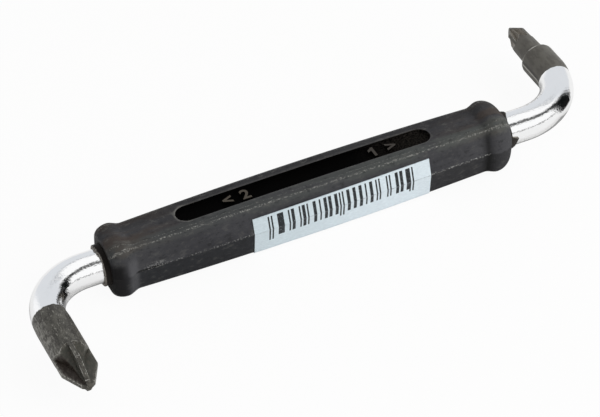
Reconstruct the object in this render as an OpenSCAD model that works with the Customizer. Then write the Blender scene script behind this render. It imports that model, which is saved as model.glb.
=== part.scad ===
// Offset screwdriver: a steel bar bent to a Z, with a cross tip at each end and a moulded grip in the middle.
// The bar's straight run lies along X, the large tip points to -Y at the -X end, the small tip to +Y at +X.
// The origin is on the bar's axis, midway between the two arms. Lengths are in millimetres.

/* [Bar] */
// Diameter of the bar
bar_d = 7; // [6:0.1:8]
// Distance between the axes of the two arms
span = 120.4; // [118:0.2:140]
// Bend radius at the large end, to the bar's axis
large_bend_r = 11; // [8:0.5:12]
// Bend radius at the small end, to the bar's axis
small_bend_r = 13; // [8:0.5:14]
// Length of the large arm, from the bar's axis to the end of the tip
large_arm = 31.6; // [28:0.1:45]
// Length of the small arm, from the bar's axis to the end of the tip
small_arm = 30.2; // [29:0.1:45]

/* [Tips] */
// Angle between a tip's cone and its axis
cone_angle = 26; // [20:0.5:28]
// Angle between the point at a tip's end and its axis
point_angle = 52; // [40:1:65]
// Angle between the floor of a flute and the tip's axis
floor_angle = 8; // [5:0.5:10]
// Diameter at which the large tip's point starts
large_point_d = 2.8; // [2.4:0.1:3.4]
// Diameter of the blunt end of the large tip
large_blunt_d = 1.2; // [0.8:0.1:2]
// Width of a wing of the large tip
large_wing_w = 0.9; // [0.8:0.05:1.5]
// Width of the core of the large tip at its end, across the flats
large_core_w = 1; // [0.9:0.1:2.4]
// Length of the straight floor of a flute in the large tip
large_floor_l = 5; // [4:0.1:7]
// Radius of the run-out of a flute in the large tip
large_runout_r = 8; // [6:0.5:10]
// Diameter of the turned-down small end
small_d = 5; // [4:0.1:5.8]
// Length of the turned-down small end, from its shoulder to the end of the tip
small_end_l = 11.8; // [11:0.1:15]
// Diameter at which the small tip's point starts
small_point_d = 2.2; // [1.8:0.1:2.6]
// Diameter of the blunt end of the small tip
small_blunt_d = 1; // [0.6:0.1:1.6]
// Width of a wing of the small tip
small_wing_w = 0.8; // [0.6:0.05:1]
// Width of the core of the small tip at its end, across the flats
small_core_w = 1.3; // [1.1:0.1:1.6]
// Length of the straight floor of a flute in the small tip
small_floor_l = 3.4; // [2.8:0.1:5.2]
// Radius of the run-out of a flute in the small tip
small_runout_r = 6; // [5:0.5:8]
// Turn of the large tip's wings about its axis
large_roll = 0; // [0:5:90]
// Turn of the small tip's wings about its axis
small_roll = 30; // [0:5:90]

/* [Keying wings] */
// Length of a pressed wing along the bar
key_l = 9; // [5:0.5:14]
// Height of a pressed wing above the bar's side
key_h = 0.9; // [0.5:0.1:1.2]
// Thickness of a pressed wing
key_t = 2.2; // [1.5:0.1:3]
// Distance between the middles of the two pairs of wings
key_pitch = 44; // [30:1:56]

/* [Grip] */
// Length of the grip
grip_l = 87.5; // [84:0.5:92]
// Place of the grip's middle along the bar
grip_x = -1.3; // [-2:0.1:1]
// Width of the grip at its parting line, in the middle of its length
grip_w = 11.9; // [11.4:0.1:14]
// Height of the grip in the middle of its length
grip_h = 12; // [11.4:0.1:14]
// Draft of the grip's sides away from the parting line
draft = 11.5; // [4:0.5:14]
// Radius of the grip's long edges
edge_r = 1.2; // [0.6:0.1:2]
// Depth by which the necks are slimmer than the middle, on each face
neck_drop = 0.45; // [0.2:0.05:0.8]
// Height of a collar above its neck
collar_rise = 0.8; // [0.3:0.05:1]
// Length of the collar at the large end, from its neck to the end of the grip
large_collar_l = 5.5; // [5:0.1:10]
// Length of the collar at the small end, from its neck to the end of the grip
small_collar_l = 6.4; // [6:0.1:10]
// Length of the rounded end of the large end's collar, from its crest
large_round_l = 2.8; // [2:0.1:4]
// Depth of the rounded end of the large end's collar
large_round_h = 1.3; // [0.8:0.1:1.6]
// Length of the rounded end of the small end's collar, from its crest
small_round_l = 3.6; // [2:0.1:4.5]
// Depth of the rounded end of the small end's collar
small_round_h = 2.6; // [0.8:0.1:2.8]
// Radius of the long edges at a collar
collar_edge_r = 2.2; // [1.2:0.1:2.6]
// Wall of the noses of moulding round the bar
nose_wall = 0.8; // [0.4:0.1:1]
// Length of the nose at the large end
large_nose_l = 1; // [0.4:0.1:2]
// Length of the nose at the small end
small_nose_l = 0.5; // [0.2:0.1:2]

/* [Slot] */
// Length of the slot in the grip's upper face
slot_l = 55.2; // [30:0.2:66]
// Width of the slot
slot_w = 4.7; // [3:0.1:6]
// Depth of the slot, from the top of the grip
slot_depth = 1; // [0.6:0.1:1.4]
// Place of the slot's middle along the grip, from the grip's middle
slot_x = -0.4; // [-3:0.1:3]

/* [Label] */
// Length of the label along the grip
label_l = 38.7; // [20:0.1:50]
// Place of the label's middle along the grip, from the grip's middle
label_x = 5.2; // [-8:0.1:8]
// Height of the label's upper edge above the parting line
label_top = 3.5; // [1:0.1:4]
// Thickness of the label
label_t = 0.12; // [0.08:0.01:0.2]
// Thickness of the film of glue under the label
glue_t = 0.03; // [0.02:0.01:0.05]

/* [Hidden] */
$fn = 64;
// Length by which cuts run past the faces that they open
overrun = 0.5;
// Number of steps along the grip's middle, along a collar's slope, round a collar's end and round an edge
middle_steps = 5;
slope_steps = 7;
round_steps = 7;
edge_steps = 6;
// Number of those edge steps that the label covers, and of the label's own steps along the grip
label_edge_steps = 4;
label_steps = 6;

// Half sizes of the grip, the places of its necks from its middle, and the inset of its collars' crests
half_w = grip_w / 2;
half_h = grip_h / 2;
half_l = grip_l / 2;
large_neck_x = half_l - large_collar_l;
small_neck_x = half_l - small_collar_l;
crest_inset = neck_drop - collar_rise;

// Outline of one flute beside a wing: X is the distance from the tip's axis, Y runs from the tip's end
// back along the shank as negative. The straight floor ends in a round run-out that is tangent to it.
module flute_outline(d, core_w, floor_l, runout_r) {
    reach = d / 2 + overrun;
    floor_end = core_w / 2 + floor_l * tan(floor_angle);
    polygon([
        [core_w / 2 - overrun * tan(floor_angle), overrun],
        [floor_end, -floor_l],
        [reach, -floor_l],
        [reach, overrun]
    ]);
    translate([floor_end + runout_r * cos(floor_angle), -floor_l + runout_r * sin(floor_angle)])
        circle(r = runout_r);
}

// The two flutes on either side of each of the four wings.
module flutes(d, wing_w, core_w, floor_l, runout_r) {
    for (turn = [0:90:270], side = [0, 1])
        rotate(turn)
            mirror([0, side, 0])
                translate([0, -wing_w / 2, 0])
                    rotate([90, 0, 0])
                        linear_extrude(height = d / 2 + overrun)
                            flute_outline(d, core_w, floor_l, runout_r);
}

// Round end with a cone and a blunt point. Its end is at Z = 0 and its shank runs back to Z = -shank_l.
module blank(d, point_d, blunt_d, shank_l) {
    point_l = (point_d - blunt_d) / 2 / tan(point_angle);
    cone_l = (d - point_d) / 2 / tan(cone_angle);
    rotate_extrude()
        polygon([
            [0, -shank_l],
            [d / 2, -shank_l],
            [d / 2, -point_l - cone_l],
            [point_d / 2, -point_l],
            [blunt_d / 2, 0],
            [0, 0]
        ]);
}

module cross_tip(d, point_d, blunt_d, shank_l, wing_w, core_w, floor_l, runout_r, roll) {
    difference() {
        blank(d, point_d, blunt_d, shank_l);
        rotate(roll)
            flutes(d, wing_w, core_w, floor_l, runout_r);
    }
}

// Bend at the +X end that turns the bar from +X to +Y.
module bend(bend_r) {
    translate([span / 2 - bend_r, bend_r, 0])
        rotate(-90)
            rotate_extrude(angle = 90)
                translate([bend_r, 0])
                    circle(d = bar_d);
}

// Places the end of an arm at the +X end: Z of the children becomes +Y, up to the end of the tip.
module at_arm_end(arm) {
    translate([span / 2, arm, 0])
        rotate([-90, 0, 0])
            children();
}

module large_end() {
    at_arm_end(large_arm)
        cross_tip(bar_d, large_point_d, large_blunt_d, large_arm - large_bend_r, large_wing_w, large_core_w,
                  large_floor_l, large_runout_r, large_roll);
}

module small_end() {
    at_arm_end(small_arm) {
        cross_tip(small_d, small_point_d, small_blunt_d, small_end_l, small_wing_w, small_core_w,
                  small_floor_l, small_runout_r, small_roll);
        translate([0, 0, small_bend_r - small_arm])
            cylinder(d = bar_d, h = small_arm - small_bend_r - small_end_l);
    }
}

// Straight run of the bar between the bends.
module straight_run() {
    translate([large_bend_r - span / 2, 0, 0])
        rotate([0, 90, 0])
            cylinder(d = bar_d, h = span - large_bend_r - small_bend_r);
}

// Round bar along its straight run and both bends.
module bent_run() {
    straight_run();
    rotate(180) bend(large_bend_r);
    bend(small_bend_r);
}

// Wings pressed out of the bar's sides, which the grip is moulded round.
module keying_wings() {
    for (side = [-1, 1])
        translate([grip_x + side * key_pitch / 2, 0, 0])
            cube([key_l, bar_d + 2 * key_h, key_t], center = true);
}

module bar() {
    color("silver") {
        bent_run();
        keying_wings();
        rotate(180) large_end();
        small_end();
    }
}

// Inset of the grip's faces at a place x from its middle, between the necks.
function middle_inset(x) = neck_drop * pow(x / (x < 0 ? large_neck_x : small_neck_x), 2);

// Stations of one half of the grip: distance from its middle, inset of the faces and radius of the long edges.
function half_stations(neck_x, round_l, round_h) =
    let (crest_x = half_l - round_l)
    concat(
        [for (i = [0:middle_steps])
            let (share = (2 * i + 1) / (2 * middle_steps + 1))
            [neck_x * share, neck_drop * pow(share, 2), edge_r]],
        [for (i = [1:slope_steps])
            let (share = (1 - cos(180 * i / slope_steps)) / 2)
            [neck_x + (crest_x - neck_x) * i / slope_steps, neck_drop - collar_rise * share,
             edge_r + (collar_edge_r - edge_r) * share]],
        [for (i = [1:round_steps])
            let (angle = 90 * i / round_steps)
            [crest_x + round_l * sin(angle), crest_inset + round_h * (1 - cos(angle)), collar_edge_r]]
    );

// Centre of the round edge of a section, from its half width, half height and edge radius.
function edge_centre(w, h, r) = [w - r / cos(draft) - (h - r) * tan(draft), h - r];

// Point on the round edge of a section, where step 0 meets the side and the last step the top.
function edge_point(w, h, r, step) =
    let (angle = draft + (90 - draft) * step / edge_steps)
    edge_centre(w, h, r) + r * [cos(angle), sin(angle)];

// Half of a grip section, from the parting line over the top to the other parting line.
function upper_half(w, h, r) =
    let (edge = [for (i = [0:edge_steps]) edge_point(w, h, r, i)])
    concat([[w, 0]], edge, [for (i = [edge_steps:-1:0]) [-edge[i][0], edge[i][1]]]);

// Whole grip section as points in Y and Z.
function section(w, h, r) =
    let (half = upper_half(w, h, r))
    concat(half, [for (p = half) -p]);

// Section of the grip at one station, as points in space.
function ring(x, inset, r) = [for (p = section(half_w - inset, half_h - inset, r)) [x, p[0], p[1]]];

// Closed solid through rings of equally many points, in order along X. Each ring turns from +Y to +Z.
module loft(rings) {
    n = len(rings[0]);
    last = (len(rings) - 1) * n;
    sides = [for (i = [0:len(rings) - 2], k = [0:n - 1])
        [i * n + k, (i + 1) * n + k, (i + 1) * n + (k + 1) % n, i * n + (k + 1) % n]];
    ends = [[for (k = [0:n - 1]) k], [for (k = [n - 1:-1:0]) last + k]];
    polyhedron(points = [for (r = rings) each r], faces = concat(sides, ends));
}

module grip_body() {
    large = half_stations(large_neck_x, large_round_l, large_round_h);
    small = half_stations(small_neck_x, small_round_l, small_round_h);
    loft(concat(
        [for (i = [len(large) - 1:-1:0]) ring(-large[i][0], large[i][1], large[i][2])],
        [for (s = small) ring(s[0], s[1], s[2])]
    ));
}

// Noses of moulding that stand out round the bar at the grip's two ends.
module noses() {
    translate([-half_l - large_nose_l, 0, 0])
        rotate([0, 90, 0])
            cylinder(d = bar_d + 2 * nose_wall, h = grip_l + large_nose_l + small_nose_l);
}

// Slot with round ends in the upper face.
module slot() {
    translate([slot_x, 0, half_h - slot_depth])
        linear_extrude(height = slot_depth + overrun) {
            square([slot_l - slot_w, slot_w], center = true);
            for (side = [-1, 1])
                translate([side * (slot_l - slot_w) / 2, 0])
                    circle(d = slot_w);
        }
}

// The grip is moulded round the bar, so its bore is the bar itself, wings and bends included.
module grip() {
    color("dimgray")
        difference() {
            translate([grip_x, 0, 0])
                difference() {
                    union() {
                        grip_body();
                        noses();
                    }
                    slot();
                }
            bent_run();
            keying_wings();
        }
}

// Points of the label's section on the near side, from its upper edge down over the parting line and round
// the lower edge, at a height above the grip's face.
function label_line(inset, height) =
    let (w = half_w - inset + height / cos(draft))
    let (h = half_h - inset + height)
    concat(
        [[-(w - label_top * tan(draft)), label_top], [-w, 0]],
        [for (i = [0:label_edge_steps]) -edge_point(w, h, edge_r + height, i)]
    );

// Closed section of the label at a place x from the grip's middle.
function label_ring(x) =
    let (inset = middle_inset(x))
    let (under = label_line(inset, glue_t), over = label_line(inset, glue_t + label_t))
    [for (p = concat(over, [for (i = [len(under) - 1:-1:0]) under[i]])) [x, p[0], p[1]]];

module label() {
    color("white")
        translate([grip_x, 0, 0])
            loft([for (i = [0:label_steps]) label_ring(label_x + label_l * (i / label_steps - 1 / 2))]);
}

bar();
grip();
label();
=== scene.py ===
"""Looks of an offset screwdriver: a bent steel bar with two cross tips, a moulded grip and a paper label.

Lengths are in millimetres until a mesh is made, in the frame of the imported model: X along the bar, Z up.
"""

import math

import bpy
import numpy as np
from mathutils import Matrix, Vector


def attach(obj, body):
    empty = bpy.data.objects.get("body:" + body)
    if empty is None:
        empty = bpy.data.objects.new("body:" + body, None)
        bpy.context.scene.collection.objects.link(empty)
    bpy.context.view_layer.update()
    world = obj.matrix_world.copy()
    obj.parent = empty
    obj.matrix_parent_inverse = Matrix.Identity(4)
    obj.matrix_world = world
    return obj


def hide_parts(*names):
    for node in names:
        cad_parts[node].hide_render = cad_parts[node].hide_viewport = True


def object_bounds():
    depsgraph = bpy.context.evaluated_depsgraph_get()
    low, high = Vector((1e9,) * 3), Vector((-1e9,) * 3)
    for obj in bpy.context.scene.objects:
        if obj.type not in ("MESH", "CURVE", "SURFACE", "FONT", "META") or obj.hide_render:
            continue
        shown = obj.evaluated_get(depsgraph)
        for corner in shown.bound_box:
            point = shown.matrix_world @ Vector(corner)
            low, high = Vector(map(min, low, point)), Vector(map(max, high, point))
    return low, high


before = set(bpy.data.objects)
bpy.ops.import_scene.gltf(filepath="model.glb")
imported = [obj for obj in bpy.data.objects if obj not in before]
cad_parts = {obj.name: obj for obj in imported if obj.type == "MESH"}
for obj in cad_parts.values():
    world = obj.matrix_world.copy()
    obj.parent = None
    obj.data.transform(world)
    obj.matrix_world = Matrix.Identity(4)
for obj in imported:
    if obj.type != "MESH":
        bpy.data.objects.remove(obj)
cad_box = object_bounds()

MM = 0.001
TOUCH = 0.02  # a point this close is on a surface
QUARTER = math.pi / 2

# Bar
BAR_R = 3.5
ARM_R = 3.68  # the forged, blackened ends are a little thicker than the plated run
THICKER_FROM = 9.0  # distance from the run's axis at which they start to thicken
THICKER_OVER = 4.0
SPAN = 120.4
LARGE_BEND_R = 11.0
SMALL_BEND_R = 13.0
LARGE_ARM = 31.6
SMALL_ARM = 30.75
SMALL_END_L = 12.35
SMALL_ROLL = 30  # degrees that the small tip is turned about its axis
SMALL_TIP_WEAR = 0.85
POINT_TAN = math.tan(math.radians(52))
FLOOR_ANGLE = math.radians(8)
LARGE_TIP = {"radius": ARM_R, "taper": 0.0, "cone": math.tan(math.radians(26)), "point": 1.4, "blunt": 0.6,
             "wing": 0.45, "core": 0.5, "floor_l": 5.0, "runout": 8.0}
SMALL_TIP = {"radius": 2.29, "taper": 0.032, "cone": math.tan(math.radians(30.5)), "point": 0.3,
             "blunt": 0.15, "wing": 0.4, "core": 0.6, "floor_l": 3.95, "runout": 6.0}
BLUNT_CAP = ((0.0, 0.72), (0.03, 0.92))  # distance behind the end, share of the first section
RUNOUT_BLEND = ((0.06, 0.06), (0.4, 0.25), (0.9, 0.5), (1.6, 0.75), (2.6, 1))  # distance, share of a circle
SHOULDER_EDGE = ((-0.5, 0.0, 0.0), (-0.36, 0.01, 0.75), (-0.14, 0.07, 0.75),
                 (0.01, 0.3, 0.75), (0.03, 0.5, 0.0))  # distance past the shoulder, inset, wear
SHOULDER_FILLET = ((0.05, 0.25), (0.1, 0.09), (0.25, 0.0))  # distance past the shoulder, height
EDGE = 0.11  # half width of a softened edge
WING_LIMIT = 0.55  # largest half width of a wing, as a share of its radius
LEAST_WALL = 0.03  # least depth of a flute
POINT_WEAR = 0.2  # share of the wear that the steep point shows
RING_GAP = 1.2  # between the rings of a plain shank
OCTANT = 22  # steps round an eighth of the bar
CORNER_STEP = 3  # step of an octant on a wing's edge
RIB_STEP = 13  # step on the edge between a flute and the round blank
RING = 8 * OCTANT
LARGE_BLACK_Y = 10.1  # distance from the run's axis at which the blackening starts
SMALL_BLACK_Y = 9.95
SMALL_BLACK_LEAN = 0.09  # slope of that border on the small arm
# painted highlight line and the painted shade band beside it, on the small arm's inner side
GLINT_LINE_Z = 0.2
GLINT_SHADE_Z = 0.75
GLINT_LINE_Y = (8.0, 9.0)

# Grip, x from its middle
GRIP_X = -1.3
HALF_L = 43.75
HALF_W = 5.95
HALF_H = 6.0
DRAFT = math.radians(11.5)
EDGE_R = 1.2
COLLAR_EDGE_R = 2.2
NECK_DROP = 0.45
COLLAR_RISE = 0.8
LARGE_COLLAR = {"length": 5.5, "round_l": 2.8, "round_h": 1.3, "soften": 0.2}
SMALL_COLLAR = {"length": 6.4, "round_l": 3.6, "round_h": 2.6, "soften": 1.0}
PARTING_RIDGE = 0.05
NOSE_R = 4.3
NOSE_STEP = 0.1  # least step from the end of the grip down to its nose
LARGE_FLASH = {"length": 1.15, "seed": 7, "flaps": ((30, 70, 110, 0.25),)}  # flaps: degrees and length
SMALL_FLASH = {"length": 0.35, "seed": 9, "flaps": ((168, 178, 240, 1.5), (46, 76, 116, 0.9))}
FLASH_ROUGHNESS = 0.12
FLASH_SECTION = ((0.0, 0.0, 0.0), (0.4, 0.05, 0.0), (0.88, 0.1, 0.4), (0.97, 0.15, 1.0),
                 (1.0, 0.35, 0.5))  # share of the length, inset, share of the lip
FLASH_BORE = 0.98  # share of the length at which the bore begins
LIP = 0.12
LIP_FROM = 0.93  # share of the length at which its pale lip begins
SLOT_X = -0.4
SLOT_L = 55.2
SLOT_R = 2.35
SLOT_FLOOR = 5.0
SLOT_FOOT = ((0.0, -0.35), (0.03, -0.2), (0.12, -0.1))  # height above the floor, widening
SLOT_RIM = ((-0.22, -0.02), (-0.1, 0.0), (-0.03, 0.05),
            (0.005, 0.15), (0.03, 0.4), (0.6, 0.45))  # height above the grip's top, widening
NUMBER_TOP = 5.72
NUMBER_SIZE = 3.9
NUMBER_SINK = 0.1  # depth of the numbers in the floor
NUMBER_BOLD = 0.1
NUMBER_SPACING = 1.15
NUMBER_MIDDLE = 0.35  # half the height of a number, as a share of its size
NUMBERS = (("< 2", -16.5), ("1 >", 15.5))  # size of the tip that each chevron points to, and its place
FLAG = ((13.45, 1.36), (12.5, 0.72), (12.5, 0.06), (13.45, 0.64))  # stroke at the head of the 1

# Marks on the grip: each pair is where a soft border starts and ends
LEFT_TO_RIGHT = (-32.0, 34.0)
GRIP_ENDS = (24.0, 38.0)
# painted shade on the left collar's end
PAINTED_SHADE_END = (-40.2, -42.4)
# middle of a painted highlight on the left collar's flank
PAINTED_HIGHLIGHT_FLANK_X = -39.5
# painted shadow in the parting line's crease at its left end
SEAM_SHADOW_X = ((-39.5, -38.5), (-35.0, -32.0))
SEAM_X = ((-38.5, -37.5), (37.5, 38.5))
SCUFF_X = ((-38.0, -36.0), (-34.0, -32.0))
SCUFF_Z = ((-0.5, 0.0), (0.6, 1.5))
# painted highlight on the slot's rim, strong past this at the left end
RIM_HIGHLIGHT_X = (-24.0, -26.5)
DUSTY_FLOOR = (8.0, 24.0)

# Label
LABEL_X = (-15.45, 23.25)
LABEL_TOP = (3.33, 3.72)
LABEL_T = 0.12
LABEL_CREST = 0.035  # how far the label stands out over the parting line
LABEL_WRAP = 4 / 6  # share of the grip's lower edge that it goes round
LABEL_LIFT = 0.02
GLUE_T = 0.03
BARS_X = 3.1  # start of the printed bars, from the label's end
BARS_TOP = 0.45
BARS_END = 5.7
GUARDS_END = 6.5
MODULE = 0.335  # width of the thinnest bar, which the next values count in
CELL = 7
CELLS = 6  # in each half
SIDE_GUARD = 3
MIDDLE_GUARD = 5

# Camera, in degrees and millimetres
AZIMUTH = -21.64
ELEVATION = 39.41
ROLL = -4.37
TARGET_X = -3.15
TARGET_DROP = 1.94
DISTANCE = 558.0
SENSOR = 36
LENS = 168

# Studio. The elevations and turns are in degrees, turns from the front to the right.
WHITE = (1, 1, 1, 1)
FLOOR_GAP = 0.02
FLOOR_REACH = 2500.0
FLOOR_CELLS = 8
FLOOR_COLOUR = (0.9, 0.895, 0.885, 1)
FLOOR_WHITE = 0.94  # share of plain white that the camera sees
FLOOR_LIFT = 0.6  # share of it that mirrors see
FLOOR_LIFTED = (3.0, 9.0)  # distance from the bar over which that sets in
PAINTED_SHADOW_FADE = (3.4, 1.6)  # distance over which the painted shadow, which mirrors see on the floor close below the bar, fades
PAINTED_SHADOW_DEPTH = 0.8
FLOOR_OPENING_X = (68.0, 77.0)
FLOOR_OPENING_TURN = ((61.0, 71.0), (101.0, 107.0))
BEND_PLACE = (57.5, 1.0)  # point that this turn goes about
WALL_TOP = 50.5
WALL_BACK = (0.05, 0.25)
WALL_LEFT = (-0.22, -0.4)
OPENING_TURN = ((62.5, 72.0), (96.0, 104.5))
OPENING_TOP = (44.0, 26.0)
TAIL_TURN = ((5.0, 18.0), (86.0, 100.0))
TAIL_FRONT = (60.0, 36.0)
TAIL_TOP = 75.0  # elevation of the opening's tail straight in front
TAIL_FALL = -0.52  # its change per degree of turn
SOFT_LIGHT = 0.55
SOFT_LEAN = 0.35  # how much more of it comes from the right
SOFTBOX = {"place": (0.4, -0.42, 0.3), "size": (0.6, 0.4), "power": 2.4}  # metres, watts


# Meshes

def add_object(name, data):
    made = bpy.data.objects.new(name, data)
    bpy.context.scene.collection.objects.link(made)
    return made


def add_mesh(name, points, faces):
    """New object from points in millimetres, smooth shaded."""
    mesh = bpy.data.meshes.new(name)
    mesh.from_pydata([tuple(p) for p in np.asarray(points, float) * MM], [], faces)
    mesh.update()
    mesh.shade_smooth()
    return add_object(name, mesh)


def add_values(piece, name, values):
    """One number for each point of a mesh, for its material to read."""
    data = piece.data.attributes.new(name, "FLOAT", "POINT").data
    data.foreach_set("value", np.asarray(values, np.float32))


def tube_faces(rings, around, closed=False):
    """Quads between rings of equally many points, which turn left about the way along."""
    last = rings if closed else rings - 1
    return [
        (i * around + k, i * around + (k + 1) % around,
         (i + 1) % rings * around + (k + 1) % around, (i + 1) % rings * around + k)
        for i in range(last) for k in range(around)
    ]


def capped_faces(rings, around):
    """Faces of a tube with flat ends."""
    start, end = tuple(range(around))[::-1], tuple(range((rings - 1) * around, rings * around))
    return tube_faces(rings, around) + [start, end]


def waves(x, seed, count=5, first=1.0):
    """Smooth uneven line with no repeat, between about -1 and 1."""
    rng = np.random.default_rng(seed)
    total = np.zeros_like(np.asarray(x, float))
    for i in range(count):
        total = total + np.sin(first * 1.7 ** i * x + rng.uniform(0, 2 * math.pi)) / 1.35 ** i
    return total / 2.6


def smooth_step(x):
    x = np.clip(x, 0, 1)
    return x * x * (3 - 2 * x)


def between(a, b, shares):
    return [a + (b - a) * t for t in shares]


def steps(a, b, count):
    """As many even places from a to b as count says, without a itself."""
    return np.linspace(a, b, count + 1)[1:]


def arc(radius, a, b, shares):
    return [radius * np.array([math.cos(t), math.sin(t)]) for t in between(a, b, shares)]


# Bar

def point_length(tip):
    return (tip["point"] - tip["blunt"]) / POINT_TAN


def arm_radius(y):
    """Radius of the bar at a distance y from the axis of its straight run."""
    return BAR_R + (ARM_R - BAR_R) * smooth_step((abs(y) - THICKER_FROM) / THICKER_OVER)


def shank_radius(tip, s):
    return tip["radius"] + tip["taper"] * s


def blank_radius(tip, s):
    """Radius of a tip's round blank, s behind the tip's end."""
    on_cone = tip["point"] + (s - point_length(tip)) * tip["cone"]
    return min(shank_radius(tip, s), tip["blunt"] + s * POINT_TAN, on_cone)


def cone_end(tip):
    """Distance behind the tip's end at which the cone meets the shank."""
    rise = tip["radius"] - tip["point"] + point_length(tip) * tip["cone"]
    return rise / (tip["cone"] - tip["taper"])


def flute_floor(tip, s):
    """Distance of a flute's floor from the tip's axis, s behind the tip's end."""
    if s <= tip["floor_l"]:
        return tip["core"] + s * math.tan(FLOOR_ANGLE)
    run = s - tip["floor_l"] + tip["runout"] * math.sin(FLOOR_ANGLE)
    centre = flute_floor(tip, tip["floor_l"]) + tip["runout"] * math.cos(FLOOR_ANGLE)
    return centre - math.sqrt(max(tip["runout"] ** 2 - run ** 2, 0))


def runout_end(tip):
    """Distance behind the tip's end at which the flutes have run out."""
    s = tip["floor_l"]
    while math.hypot(flute_floor(tip, s), tip["wing"]) < shank_radius(tip, s):
        s += 0.005
    return s


def rounded(points, i, amount=0.5):
    """Moves a corner towards the middle of its neighbours."""
    points[i] = points[i] + ((points[i - 1] + points[i + 1]) / 2 - points[i]) * amount


def octant(radius, wing, floor):
    """An eighth of a tip's section, from a wing's middle to a flute's middle, with its edge wear."""
    wing = min(wing, radius * WING_LIMIT)
    corner = np.array([math.sqrt(radius ** 2 - wing ** 2), wing])
    floor = min(floor, corner[0] - LEAST_WALL)
    root = np.array([floor, wing])
    rib = floor * math.sqrt(2) > radius
    shoulder = np.array([floor, math.sqrt(radius ** 2 - floor ** 2) if rib else floor])
    a_corner, a_rib = math.atan2(corner[1], corner[0]), math.atan2(shoulder[1], shoulder[0])
    wall_e = min(EDGE / (corner[0] - floor), 0.3)
    floor_e = min(EDGE / max(shoulder[1] - wing, 1e-3), 0.3)
    wear = np.zeros(OCTANT + 1)
    points = arc(radius, 0, a_corner, [0, 0.5, 1 - min(EDGE / wing, 0.3), 1])
    points += between(corner, root, [wall_e, 0.4, 0.7, 1])
    if rib:
        rib_e = min(EDGE / radius / max(math.pi / 4 - a_rib, 1e-3), 0.1)
        points += between(root, shoulder, [0.22, 0.44, 0.66, 0.84, 1 - floor_e, 1])
        points += arc(radius, a_rib, math.pi / 4, [rib_e] + list(steps(rib_e, 1, 8)))
    else:
        points += between(root, shoulder, steps(0, 1, 15))
    for edge in (CORNER_STEP, RIB_STEP) if rib else (CORNER_STEP,):
        wear[edge] = 1
        rounded(points, edge)
    return np.array(points), wear


def spin(angle):
    c, s = math.cos(angle), math.sin(angle)
    return np.array([[c, s], [-s, c]])


def whole_ring(points, wear):
    """The full section from one octant, mirrored and turned to the four wings."""
    mirrored = points[OCTANT - 1:0:-1, ::-1]
    quarter = np.vstack([points, mirrored])
    quarter_wear = np.concatenate([wear, wear[OCTANT - 1:0:-1]])
    ring = [quarter @ np.round(spin(turn * QUARTER)) for turn in range(4)]
    return np.vstack(ring), np.tile(quarter_wear, 4)


def even_turns():
    return np.arange(RING) * 2 * math.pi / RING


def ring_at(radius, turn):
    return radius * np.column_stack([np.cos(turn), np.sin(turn)])


def circle(radius):
    return ring_at(radius, even_turns())


def fluted_rings(tip):
    """Rings of the cross from its blunt end to the flutes' run-out: distance, section, wear and depth."""
    point_end, shank, end = point_length(tip), cone_end(tip), runout_end(tip)
    stations = list(np.linspace(0.04, point_end * 0.9, 4)) + [point_end]
    stations += list(np.linspace(point_end + 0.06, shank - EDGE, 12)) + [shank]
    stations += list(shank + EDGE + (end - shank - EDGE) * (1 - (1 - np.linspace(0, 1, 18)) ** 1.5))
    rings = []
    for s in stations:
        radius = blank_radius(tip, s)
        ring, wear = whole_ring(*octant(radius, tip["wing"], flute_floor(tip, s)))
        size = np.hypot(ring[:, 0], ring[:, 1])
        if min(abs(s - shank), abs(s - point_end)) < TOUCH:
            wear = np.maximum(wear, size > radius - TOUCH)
        if s < point_end:
            wear = wear * POINT_WEAR
        rings.append([s, ring, wear, (radius - size) / tip["radius"]])
    return rings


def tip_rings(tip, shank_l):
    """Rings of a whole tip from its end back to shank_l, in the same form."""
    fluted = fluted_rings(tip)
    first, last = fluted[0], fluted[-1]
    none = np.zeros(RING)
    cap = [[s, first[1] * share, none, first[3]] for s, share in BLUNT_CAP]
    turns = np.unwrap(np.arctan2(last[1][:, 1], last[1][:, 0]))
    behind = []
    for s, share in RUNOUT_BLEND:
        turn = turns + (even_turns() - turns) * share
        behind.append([last[0] + s, ring_at(shank_radius(tip, last[0] + s), turn), none, none])
    start = behind[-1][0]
    plain_steps = max(int((shank_l - start) / RING_GAP), 2)
    behind += [[s, circle(shank_radius(tip, s)), none, none] for s in steps(start, shank_l, plain_steps)]
    return cap + fluted + behind


def turned(rings, degrees):
    """Rings turned about the axis, with their points kept in step with the shank's."""
    shift = round(degrees * RING / 360)
    turn = spin(math.radians(degrees))
    return [[d, np.roll(ring @ turn, shift, axis=0), np.roll(wear, shift), np.roll(deep, shift)]
            for d, ring, wear, deep in rings]


def round_station(at, way, radius, wear=0.0):
    return np.array(at), np.array(way), circle(radius), np.full(RING, wear), np.zeros(RING)


def large_arm():
    """Stations from the large tip to its bend."""
    out = []
    for s, ring, wear, deep in tip_rings(LARGE_TIP, LARGE_ARM - LARGE_BEND_R):
        y = s - LARGE_ARM
        out.append((np.array([-SPAN / 2, y]), np.array([0.0, 1.0]), ring * arm_radius(y) / ARM_R, wear, deep))
    return out


def bent_run():
    """Stations of the large bend, the straight run and the small bend."""
    side = SPAN / 2
    out = []
    for c, s in arc(1, 0, QUARTER, steps(0, 1, 32)):
        at = (LARGE_BEND_R * (1 - c) - side, LARGE_BEND_R * (s - 1))
        out.append(round_station(at, (s, c), arm_radius(at[1])))
    for x in steps(LARGE_BEND_R - side, side - SMALL_BEND_R, 48):
        out.append(round_station((x, 0.0), (1.0, 0.0), BAR_R))
    for c, s in arc(1, 0, QUARTER, steps(0, 1, 36)):
        at = (side - SMALL_BEND_R * (1 - s), SMALL_BEND_R * (1 - c))
        out.append(round_station(at, (c, s), arm_radius(at[1])))
    return out


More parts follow.
